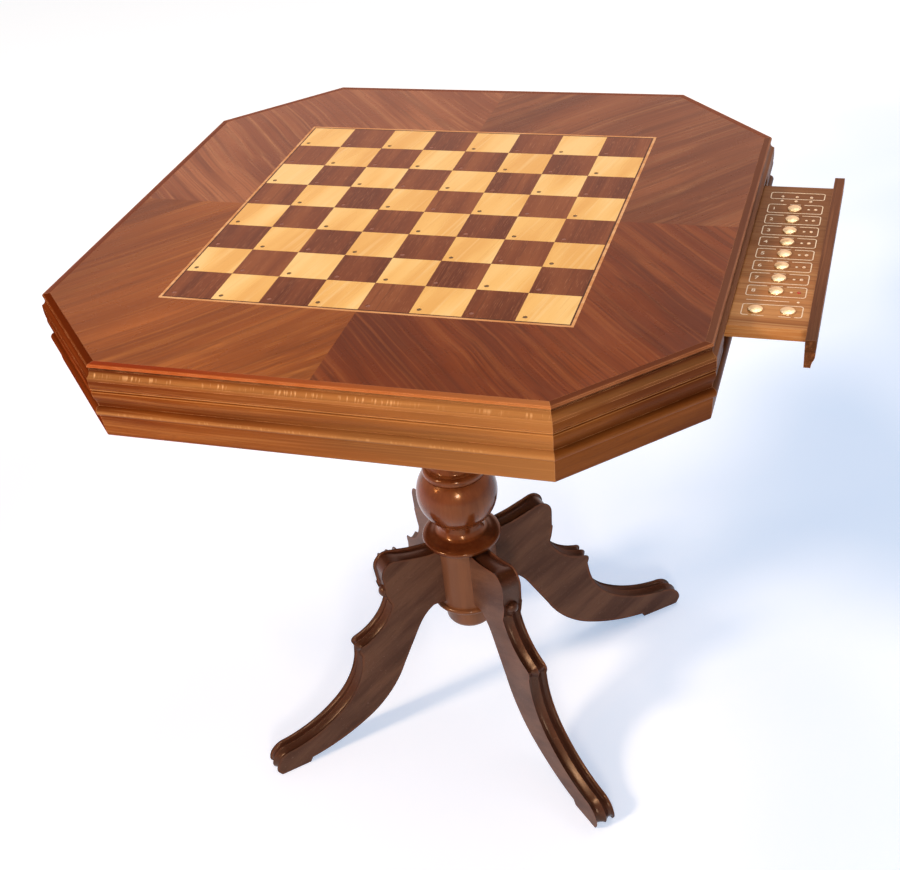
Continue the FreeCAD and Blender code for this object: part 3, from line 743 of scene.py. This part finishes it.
def trimAt(y, trims):
    for below, above in zip(trims, trims[1:]):
        if y < above[0]:
            share = max(0.0, (y - below[0]) / (above[0] - below[0]))
            return below[1] + (above[1] - below[1]) * share
    return trims[-1][1]


def trimmed(outline, trims):
    # the outer edge is moved in or out, the sawn under edge and the joint stay
    return [(x + (trimAt(y, trims) if i in outerEdge else 0.0), y, bow, kind)
        for i, (x, y, bow, kind) in enumerate(outline)]


def spaced(outline, spacing):
    # the outline as evenly spaced points, each with its shares of the two kinds of carving
    dense = []
    for i, end in enumerate(outline):
        start = outline[i - 1]
        run = [start[:2]] + (arcPoints(start[:2], end[:2], end[2]) if end[2] else [end[:2]])
        for a, b in zip(run, run[1:]):
            count = max(1, round(dist(a, b) / spacing))
            dense += [(a[0] + (b[0] - a[0]) * k / count, a[1] + (b[1] - a[1]) * k / count,
                float(end[3] == groove), float(end[3] == hollow)) for k in range(count)]
    for turn in range(legLook["easeTurns"]):
        # the corners are eased once, the carving's ends every time
        weight = 0.0 if turn else legLook["easing"]
        eased = []
        for i, here in enumerate(dense):
            before, after = dense[i - 1], dense[(i + 1) % len(dense)]
            spot = [here[k] + weight * (before[k] + after[k] - 2 * here[k]) for k in (0, 1)]
            kind = [(before[k] + here[k] + after[k]) / 3 for k in (2, 3)]
            eased.append(tuple(spot + kind))
        dense = eased
    return dense


def edgeFacts(outline):
    # which way each point faces, and how far in an arris may go before it meets the other side of a thin tip
    outwards, room = [], []
    for i, here in enumerate(outline):
        before, after = outline[i - 1], outline[(i + 1) % len(outline)]
        run = hypot(after[0] - before[0], after[1] - before[1])
        way = ((after[1] - before[1]) / run, (before[0] - after[0]) / run)
        best = legLook["mostRoom"]
        for there in outline:
            away = (there[0] - here[0], there[1] - here[1])
            inward = -(away[0] * way[0] + away[1] * way[1])
            if there is not here and inward > 0.001:
                best = min(best, (away[0] ** 2 + away[1] ** 2) / (2 * inward))
        outwards.append(way)
        room.append(best)
    return outwards, room


halfThick = legLook["thickness"] / 2
# the rows of points across the edge, as distances from the side, close together where the arris is
drops = (0, 0, 0.08, 0.35, 0.85, 1.5, 2.3, 3.1, 4.0, 4.9, 5.8, 6.8, 7.9, 9.0, 10.2, 11.4)
acrossEdge = [drop - halfThick for drop in drops] + [0.0] + [halfThick - drop for drop in drops[::-1]]


def carvedIn(depth, half, w, curve, power):
    # how deep a groove is at w from its middle: a V with power 1, round with power 2
    part = abs(w) / half
    return depth * (1 - part ** power) ** curve if part < 1 else 0.0


def legSpot(i, j, shape, outward, sideways):
    # the point i of the outline, on the row j across the edge
    outline, outwards, room = shape
    x, y, vShare, hollowShare = outline[i]
    # the groove runs out towards the sole
    vShare *= min(1.0, legLook["atSole"] + max(0.0, y) / legLook["runOut"])
    w = acrossEdge[j]
    # the edge that is seen, from the shoulder to the toe, has the wider arris
    seen = min(1.0, max(0.0, (x - legLook["faceStart"]) / legLook["faceRise"]))
    seen = seen if outwards[i][1] > legLook["faceUp"] or outwards[i][0] > legLook["faceOut"] else 0.0
    arris = legLook["innerArris"] + (legLook["outerArris"] - legLook["innerArris"]) * max(seen, vShare, hollowShare)
    arris = min(arris, room[i] * legLook["arrisRoom"])
    drop = halfThick - abs(w)
    inset = arris - sqrt(max(0.0, arris ** 2 - max(0.0, arris - drop) ** 2))
    if j in (0, len(acrossEdge) - 1):
        inset = min(arris + legLook["ringBehindArris"], room[i] * legLook["ringRoom"])
    depth = min(legLook["grooveDepth"], room[i] * legLook["grooveRoom"]) * vShare
    inset += carvedIn(depth, legLook["grooveHalf"], w, legLook["grooveCurve"], 1)
    inset += carvedIn(legLook["hollowDepth"] * hollowShare, legLook["hollowHalf"], w, legLook["hollowCurve"], 2)
    x -= outwards[i][0] * inset
    y -= outwards[i][1] * inset
    return outward * x + sideways * w + Vector((0, 0, max(0.0, y) + floorLevel))


button = {"reach": 119.0, "height": 214.0, "radius": 8.0, "segments": 32, "rings": 16}


def kneeButton(outward, trim):
    # a small dome, half sunk in the knee
    spot = outward * (button["reach"] + trim) + Vector((0, 0, button["height"] + floorLevel))
    dome = fresh("dome", "uv_sphere", segments=button["segments"],
        ring_count=button["rings"], radius=button["radius"] * mm, location=spot * mm)
    settle()
    return dome


for number, (name, azimuth) in enumerate(legTurns.items()):
    outward, sideways = waysAt(radians(azimuth))
    outline = spaced(trimmed(legOutline, legTrim[name]), legLook["spacing"])
    shape = (outline,) + edgeFacts(outline)
    leg = wrapped("carvedLeg_" + name, len(outline), len(acrossEdge) - 1,
        lambda i, j: legSpot(i, j, shape, outward, sideways))
    joinTo(leg, [kneeButton(outward, legTrim[name][-2][1])])
    smoothBy(30)
    place(leg, timber("stainedLeg_" + name, {
        "tones": ("#4B2E22", "#5A3C2F", "#694838"), "turn": (0, 42, -azimuth),
        "shift": (0.4 * number, 0.2, 0.1 * number), "cloudWidth": 24, "cloudLength": 150,
        "streaks": [(280, 6, 0.53, 0.68, 0.14, "#7A5644"), (200, 3, 0.53, 0.66, 0.16, "#2E1A13"),
            (70, 1.3, 0.56, 0.68, 0.14, "#2E1A13")],
        "wander": 6, "roughness": 0.42, "specular": 0.2, "sheen": "#FFDCC0", "poreDepth": 0.3, "wear": "#7E4830",
        "wearDepth": 0.45, "scuff": "#A08070", "bump": 0.3,
        "edge": {"side": tuple(sideways), "tone": "#38190D", "depth": 0.82, "roughness": 0.3, "specular": 0.42}}),
        "table", "leg_walnut", "leg_" + name)
print("legs carved:", len(outline), "points round each")

# control drawer
drawerLook = {"travel": 80.0, "frontEnds": (-174.5, 154.5)}
dressNodes(timber("goldenDrawerTop", {
    "tones": ("#9A5E2C", "#B47440", "#C68A52"), "turn": (0, 0, 3), "cloudWidth": 26, "cloudLength": 260,
    "streaks": [(420, 5, 0.53, 0.66, 0.45, "#D9A468"), (320, 2.4, 0.54, 0.66, 0.4, "#E2B47C"),
        (360, 4, 0.53, 0.66, 0.5, "#85491F"), (160, 1.2, 0.55, 0.66, 0.35, "#7A411C")],
    "wander": 4, "roughness": 0.38, "specular": 0.3, "sheen": "#FFD49A", "poreDepth": 0.3, "wear": "#E2B078",
    "wearReach": 0.8, "wearDepth": 0.4, "endTone": (-100, 30, "#5E3218", 0.75), "endToneAxis": "Y"}),
    "drawer_panel", "drawer_frame", "drawer_bottom")
front = mouldedStrip("drawerFront", 0, frontSection, drawerLook["frontEnds"])
pick(front)
# at rest the drawer is out by its whole travel
bpy.ops.transform.translate(value=(drawerLook["travel"] * mm, 0, 0))
settle()
place(front, timber("walnutMoulding_drawer", dict(
    mouldingCommon, tones=("#40200F", "#5C301A", "#70422A"), turn=(0, 0, -90), shift=(0.7, 0.2, 0.3),
    # the dark band in the notch under the bead is painted shade
    bands=[(-28.2, -26.3, 0.5, "#2E1408", 0.55)], streaks=streaksOf(0.42, "#8C5A38", "#3E1D0E"))),
    "drawer", "moulding_walnut", "drawer_front")

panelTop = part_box("drawer_panel")[1].z / mm
keyLook = {"radius": 7.0, "collar": 7.9, "collarHeight": 0.8, "wallTop": 0.7, "crown": 1.55, "crownEdge": 0.9,
    "rise": 2.2, "tip": 0.3, "sides": 40}
keyMiddles = [(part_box(f"key_{n}")[0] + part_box(f"key_{n}")[1]) / 2 / mm for n in range(1, 11)]
columnKeys = 8


# Pale brass, turned and polished, dulled a little by fingers
def polishedBrass():
    material, shader, spot = newMaterial("polishedBrass")
    smear = noise(spot, 7, 2.0)
    finishShader(shader, {"Metallic": 1.0}, {
        "Base Color": twoTones(smear, "#EBD3A2", "#F8E8C2"), "Roughness": span(smear, 0.0, 1.0, 0.3, 0.44)})
    relief(shader, noise(spot, 1.2, 2.0), 0.03, 0.05)
    return material


brass = polishedBrass()
for number, middle in enumerate(keyMiddles, 1):
    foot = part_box(f"key_{number}")[0].z / mm
    collar, radius = keyLook["collar"], keyLook["radius"]
    collarTop = foot + keyLook["collarHeight"]
    cap = lathe(f"keyCap_{number}", (collar, foot), [
        (collar, collarTop), (radius, collarTop), (radius, panelTop + keyLook["wallTop"]),
        (radius - keyLook["crownEdge"], panelTop + keyLook["crown"], -0.3),
        (keyLook["tip"], panelTop + keyLook["rise"], -0.16)], keyLook["sides"], (middle.x, middle.y))
    place(cap, brass, f"key_{number}", "brass", f"key_{number}")
print("keys turned")


# Enamel ink, screen printed: cream, thin and slightly uneven at its edge
ink = mottled("creamInk", "#E8C49A", "#FBE8CC", 0.9, 3.0, 0.6, (0.1, 0.03), {"Roughness": 0.5})
printLook = {
    "near": 344.5, "far": 399.5, "lift": 0.02, "line": 0.9, "thickness": 0.12, "arris": 0.05, "corner": 3.0,
    "cornerSteps": 6, "numeralX": 351.0, "numeralSize": 8.0, "numeralSwell": 0.12, "middleX": 371.5, "dotX": 385.6,
    "dotRadius": 1.3, "dotSides": 20, "frameHalf": 9.9, "breakHalf": 9.0, "breakAt": (8, 12), "markHalf": 5.5,
    "markAt": (9.2, 10.0), "lampFrame": (104.3, 119.7), "rule": (-106.6, -105.8), "ruleDot": -106.2,
    "pairFrame": (-134.0, -113.3), "pairBreak": (-135, -132.6), "pairMark": (-134.0, -133.2)}
inkLevel = panelTop + printLook["lift"]


def finishInk(piece, name):
    rename(piece, name)
    tidyMesh(piece)
    place(piece, ink, "drawer", "drawer_wood")


def inkBox(name, x0, x1, y0, y1, gap=None):
    # a plane with rounded corners, inset to a thin line; gap leaves out a stretch as (x0, x1, y0, y1)
    piece = fresh(name, "plane", size=1, location=spotAt((x0 + x1) / 2, (y0 + y1) / 2, inkLevel))
    piece.scale = ((x1 - x0) * mm, (y1 - y0) * mm, 1)
    settle()
    editAll(piece)
    bpy.ops.mesh.bevel(offset=printLook["corner"] * mm, segments=printLook["cornerSteps"], affect="VERTICES")
    selectMesh()
    bpy.ops.mesh.inset(thickness=printLook["line"] * mm)
    bpy.ops.mesh.delete(type="FACE")
    selectMesh()
    pushOut(0, 0, printLook["thickness"] * mm)
    leaveEdit()
    tidyMesh(piece)
    if gap:
        cut(piece, block(*gap, panelTop - 1, panelTop + 1))
    finishInk(piece, name)


def inkRule(name, x0, x1, y0, y1):
    # a thin bar with its arrises taken off
    rule = block(x0, x1, y0, y1, inkLevel, inkLevel + printLook["thickness"])
    bevel = rule.modifiers.new("soften", "BEVEL")
    bevel.width = printLook["arris"] * mm
    bevel.segments = 1
    bevel.limit_method = "ANGLE"
    bevel.angle_limit = radians(30)
    applyModifiers(rule)
    smoothBy(30)
    finishInk(rule, name)


def inkDot(name, x, y):
    radius = printLook["dotRadius"]
    crown = inkLevel + printLook["thickness"]
    dot = lathe("dot", (radius, inkLevel), [(radius, crown - 0.04), (radius - 0.06, crown)],
        printLook["dotSides"], (x, y))
    finishInk(dot, name)


def inkNumeral(name, text, x, y):
    deselectAll()
    bpy.ops.object.text_add(location=spotAt(x, y, inkLevel))
    settings = {"body": text, "size": printLook["numeralSize"] * mm, "align_x": "CENTER", "align_y": "CENTER",
        "offset": printLook["numeralSwell"] * mm, "resolution_u": 4,
        "extrude": printLook["thickness"] / 2 * mm}
    for key, value in settings.items():
        setattr(bpy.context.active_object.data, key, value)
    bpy.ops.object.convert(target="MESH")
    numeral = bpy.context.active_object
    settle()
    pick(numeral)
    finishInk(numeral, name)


near, far, middleX = printLook["near"], printLook["far"], printLook["middleX"]
gapHalf, markHalf, frameHalf = printLook["breakHalf"], printLook["markHalf"], printLook["frameHalf"]
inkBox("inkFrame_0", near, far, *printLook["lampFrame"])
for number, middle in enumerate(keyMiddles[:columnKeys], 1):
    y = middle.y
    inkBox(f"inkFrame_{number}", near, far, y - frameHalf, y + frameHalf,
        (middleX - gapHalf, middleX + gapHalf, *(y + at for at in printLook["breakAt"])))
    inkRule(f"inkMark_{number}", middleX - markHalf, middleX + markHalf, *(y + at for at in printLook["markAt"]))
    inkNumeral(f"inkNumeral_{number}", str(number), printLook["numeralX"], y)
    inkDot(f"inkDot_{number}", printLook["dotX"], y)
inkRule("inkRule", near + 2, far - 14, *printLook["rule"])
inkDot("inkRuleDot", far - 6, printLook["ruleDot"])
inkBox("inkFrame_9", near, far, *printLook["pairFrame"], (near + 7, far - 7, *printLook["pairBreak"]))
inkRule("inkMark_9", near + 10, near + 21, *printLook["pairMark"])
inkRule("inkMark_10", far - 21, far - 10, *printLook["pairMark"])
print("panel printed")

# what shows only from below or with the drawer shut
# node: finish, tones, size of the streaks, their pale and deep tones, roughness, specular, turn round Z
hiddenWoods = {
    "bottom_panel": ("plywoodPanel", ("#9C7A50", "#B8946A", "#CDAA80"), 0.8, "#D2B288", "#8E6C44", 0.62, 0.25, 0),
    "bearers": ("beechBearers", ("#A47E55", "#BE9A70", "#D2B088"), 0.4, "#D8B890", "#946E48", 0.6, 0.25, 90),
    "column_block": ("beechBlock", ("#9E7850", "#B8946A", "#CCAA80"), 0.4, "#D0B088", "#8E6A44", 0.6, 0.25, 90),
    "panel_cleats": ("beechCleats", ("#A07A52", "#BA966C", "#CEAC84"), 0.3, "#D4B48C", "#906C46", 0.62, 0.25, 0),
    "drawer_runners": ("beechRunners", ("#A68058", "#C09C72", "#D4B28A"), 0.3, "#D8B890", "#946E48", 0.5, 0.3, 0),
    "stop_rail": ("beechStop", ("#A27C54", "#BC986E", "#D0AE86"), 0.3, "#D4B48C", "#906C46", 0.6, 0.25, 90),
    "leg_dowels": ("beechDowels", ("#A8835A", "#C29E74", "#D6B48C"), 0.2, "#DCBC94", "#98744C", 0.6, 0.25, 0)}
for nodeName, (finish, tones, size, pale, deep, roughness, specular, turn) in hiddenWoods.items():
    dressNodes(timber(finish, {
        "tones": tones, "streaks": streaksOf(size, pale, deep), "roughness": roughness, "specular": specular,
        "turn": (0, 0, turn), "bump": 0.4}), nodeName)
dressNodes(timber("chipboardCore", {
    "tones": ("#9A7B52", "#B4946A", "#CBAE84"), "cloudWidth": 6, "cloudLength": 9,
    "streaks": [(6, 2, 0.5, 0.6, 0.5, "#8A6A44"), (5, 1.6, 0.55, 0.65, 0.5, "#D8BE96")], "roughness": 0.7,
    "specular": 0.2, "bump": 0.4}), "top_core")


# Plain metal and plastic: two tones, mottle size in millimetres, roughness, metallic
def plainFinish(name, low, high, mottle, roughness, metallic):
    return mottled(name, low, high, mottle, 4.0, 0.7, (0.12, 0.05), {"Metallic": metallic},
        (roughness - 0.06, roughness + 0.08))


dressNodes(plainFinish("zincPlatedSteel", "#8C8C86", "#B2B2AC", 1.2, 0.38, 1.0),
    "frame_screws", "front_screws", "stop_pegs")
dressNodes(plainFinish("blackNylon", "#151515", "#242424", 0.8, 0.45, 0.0), "power_socket", "key_switches")
dressNodes(plainFinish("greenCircuitBoard", "#123F22", "#1D5A30", 2.5, 0.4, 0.0), "sensor_board", "control_board")

# panel lamps: small domed lenses; the one beside the last key is red
panelLamp = {"stem": 1.45, "radius": 1.75, "depth": 6.0, "rim": 0.25, "rise": 0.8, "tip": 0.2, "sides": 20,
    "spacing": 14.5, "rows": (99.99, 109.8), "besideKeys": 392.5}
lampSpots = [(printLook["middleX"] + i * panelLamp["spacing"], y) for y in panelLamp["rows"] for i in (-1, 0, 1)]
lampSpots += [(panelLamp["besideKeys"], middle.y) for middle in keyMiddles[:columnKeys]]
paleLens = lensPlastic("panelLampLens", "#DDB088", "#FCE8CC")
redLens = lensPlastic("redLampLens", "#9E2418", "#D2402C")
for number, spot in enumerate(lampSpots):
    stem, radius = panelLamp["stem"], panelLamp["radius"]
    lampCap = lathe(f"panelLamp_{number}", (stem, panelTop - panelLamp["depth"]), [
        (stem, panelTop), (radius, panelTop), (radius, panelTop + panelLamp["rim"]),
        (panelLamp["tip"], panelTop + panelLamp["rise"], -0.3)], panelLamp["sides"], spot)
    place(lampCap, redLens if spot == lampSpots[-1] else paleLens, "drawer", "lamp_lens", "drawer_lamps")
print("underframe dressed")

# floor, light and camera
floor = fresh("paperFloor", "plane", size=14, location=(0, 0, floorLevel * mm))
settle()

paper = {"base": "#E6E6E6", "blush": "#E6D0D6", "cool": "#C4D8F4", "shadowBlue": "#5C9CD2", "white": "#FFFFFF",
    "pink": "#FBD6E2", "glow": 0.62, "swaySize": 625, "lean": 0.75}


# White seamless paper, matt: white at the back, faintly pink on the left, and blue to the right as a painted soft
# shadow
def paperSweep():
    material, shader, spot = newMaterial("whitePaper")
    x, y = axisOf(spot, "X"), axisOf(spot, "Y")
    sway = span(noise(spot, paper["swaySize"], 1.0), 0.3, 0.7, -0.5, 0.5)
    back = mathOf("SUBTRACT", mathOf("ADD", y, sway), mathOf("MULTIPLY", x, paper["lean"]))
    left = mathOf("MULTIPLY", span(x, -0.9, -0.3, 1.0, 0.0), span(y, 0.2, 0.9, 1.0, 0.0))
    # painted shadow: the paper's glow turns blue towards the right
    side = span(mathOf("ADD", x, sway), 0.05, 0.8)
    cool = twoTones(side, paper["cool"], paper["shadowBlue"], 0.0, 1.0)
    cool = blend(cool, paper["white"], span(back, 0.9, 1.9))
    # the glow is seen but lights nothing
    path = add(spot, "LightPath").outputs
    seen = mathOf("MAXIMUM", path["Is Camera Ray"], path["Is Glossy Ray"])
    seen = mathOf("MAXIMUM", seen, path["Is Transmission Ray"])
    finishShader(shader, {"Roughness": 0.9, "Specular IOR Level": 0.1}, {
        "Base Color": twoTones(left, paper["base"], paper["blush"], 0.0, 1.0),
        "Emission Color": blend(cool, paper["pink"], left),
        "Emission Strength": mathOf("MULTIPLY", seen, paper["glow"])})
    return material


floor.data.materials.append(paperSweep())

# plain studio: an even soft room for matt light, and for gloss a warm low wall under a dark ceiling
world = bpy.data.worlds.new("studio")
bpy.context.scene.world = world
world.use_nodes = True
background = world.node_tree.nodes["Background"]
upward = axisOf(add(background, "TexCoord").outputs["Generated"], "Z")
wall = ramp(upward, [(0.34, (1.15, 0.74, 0.64, 1)), (0.438, (0.88, 0.58, 0.5, 1)), (0.5, (0.36, 0.22, 0.16, 1)),
    (0.56, (0.06, 0.035, 0.02, 1)), (0.7, (0.03, 0.03, 0.03, 1))])
glossy = add(background, "LightPath").outputs["Is Glossy Ray"]
room = add(background, "Mix", {"data_type": "RGBA", 6: (0.30, 0.31, 0.34, 1)}, {0: glossy, 7: wall}).outputs[2]
finishShader(background, {"Strength": 1.0}, {"Color": room})


def lamp(name, spot, target, size, energy, code):
    data = bpy.data.lights.new(name, "AREA")
    data.shape = "DISK"
    data.size = size
    data.energy = energy
    data.color = colour(code)[:3]
    light = bpy.data.objects.new(name, data)
    bpy.context.scene.collection.objects.link(light)
    light.location = spot
    light.rotation_euler = (Vector(target) - Vector(spot)).to_track_quat("-Z", "Y").to_euler()


lamp("keyLight", (-1.9, -1.9, 1.5), (0, 0, -0.2), 0.55, 62, "#FFE6C8")
lamp("cameraLight", (0.75, -1.9, 0.35), (0, 0, -0.2), 0.35, 15, "#FFF2E2")
lamp("warmGlint", (-1.6, -1.5, 0.42), (0, 0, -0.35), 0.16, 4, "#FFC27A")
lamp("topLight", (0.6, 1.2, 2.2), (0, 0, 0), 1.6, 34, "#FFF4EC")

# it looks down on the front from a little to the right
cameraLook = {"spot": (0.46607, -1.22035, 0.62306), "right": (0.95264, 0.28937, -0.09352),
    "above": (-0.10321, 0.59691, 0.79564)}
cameraData = bpy.data.cameras.new("camera")
camera = bpy.data.objects.new("camera", cameraData)
bpy.context.scene.collection.objects.link(camera)
right = Vector(cameraLook["right"])
behind = right.cross(Vector(cameraLook["above"])).normalized()
above = behind.cross(right)
camera.matrix_world = Matrix.Translation(cameraLook["spot"]) @ Matrix(
    (right.normalized(), above.normalized(), behind)).transposed().to_4x4()
cameraData.sensor_width = 36.0
cameraData.lens = 54.221
cameraData.shift_x = -0.00588
cameraData.shift_y = 0.05
cameraData.clip_start = 0.01
bpy.context.scene.camera = camera
bpy.context.scene.view_settings.view_transform = "Standard"
print("stage set")
